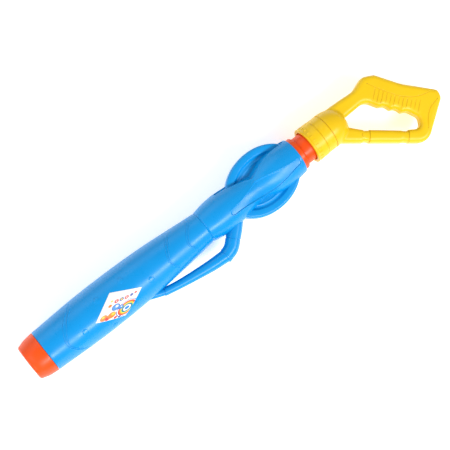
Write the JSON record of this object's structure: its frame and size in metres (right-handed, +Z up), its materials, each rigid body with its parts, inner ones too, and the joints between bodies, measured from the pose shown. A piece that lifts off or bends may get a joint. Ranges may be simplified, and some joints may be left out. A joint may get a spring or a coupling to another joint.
{
  "type": "ball inflation pump",
  "caption": "Child-size hand piston pump: swelling barrel with oval side disc and bent side pipe, push-on end cap, rod gland, and a plunger with a four-finger D-shaped handle.",
  "frame": {"origin": "centre of the bounding box in plan, on the plane that the lying pump rests on", "axes": "+X along the barrel from the end cap to the handle, +Z up out of the front face, so the side pipe and the handle's grip lie on the -Y side"},
  "size_m": [0.5474, 0.1136, 0.055],
  "materials": {
    "blue_plastic": "satin gloss",
    "orange_plastic": "satin gloss",
    "yellow_plastic": "satin gloss",
    "clear_white_plastic": "milky gloss",
    "white_plastic": "matt",
    "black_rubber": "matt",
    "steel": "bright zinc",
    "brass": "nickel-brass",
    "label_paper": "printed vinyl"
  },
  "bodies": {
    "barrel": {"body_front_shell": "blue_plastic", "body_back_shell": "blue_plastic", "body_screw_1": "steel", "body_screw_2": "steel", "body_screw_3": "steel", "body_screw_4": "steel", "body_screw_5": "steel", "body_screw_6": "steel", "body_screw_7": "steel", "diamond_label": "label_paper", "cylinder_tube": "clear_white_plastic", "valve_housing": "white_plastic", "housing_o_ring": "black_rubber", "valve_spring": "steel", "outlet_nozzle": "white_plastic", "nozzle_washer": "black_rubber", "inflation_needle": "brass", "neck_gland": "orange_plastic", "rod_bush": "white_plastic", "rod_wiper": "black_rubber"},
    "cap": {"end_cap": "orange_plastic"},
    "check_ball": {"valve_ball": "steel"},
    "piston_seal": {"piston_cup": "black_rubber"},
    "plunger": {"plunger_rod": "yellow_plastic", "piston_head": "white_plastic", "piston_washer": "steel", "piston_screw": "steel", "stop_bumper": "black_rubber", "handle_front_shell": "yellow_plastic", "handle_back_shell": "yellow_plastic", "handle_ring": "yellow_plastic", "handle_pin": "steel", "handle_screw_1": "steel", "handle_screw_2": "steel", "handle_screw_3": "steel", "handle_screw_4": "steel"}
  },
  "joints": [
    {"name": "plunger_slide", "type": "slide", "parent": "barrel", "child": "piston_seal", "axis": [1, 0, 0], "range_m": [0, 0.265]},
    {"name": "plunger_turn", "type": "hinge", "parent": "piston_seal", "child": "plunger", "pos_m": [0, 0.02092, 0.02727], "axis": [1, 0, 0], "continuous": true},
    {"name": "cap_pull", "type": "slide", "parent": "barrel", "child": "cap", "axis": [-1, 0, 0], "range_m": [0, 0.06]},
    {"name": "valve_lift", "type": "slide", "parent": "barrel", "child": "check_ball", "axis": [-1, 0, 0], "range_m": [0, 0.0012], "stiffness_N_per_m": 60, "deforming": ["valve_spring"]}
  ]
}
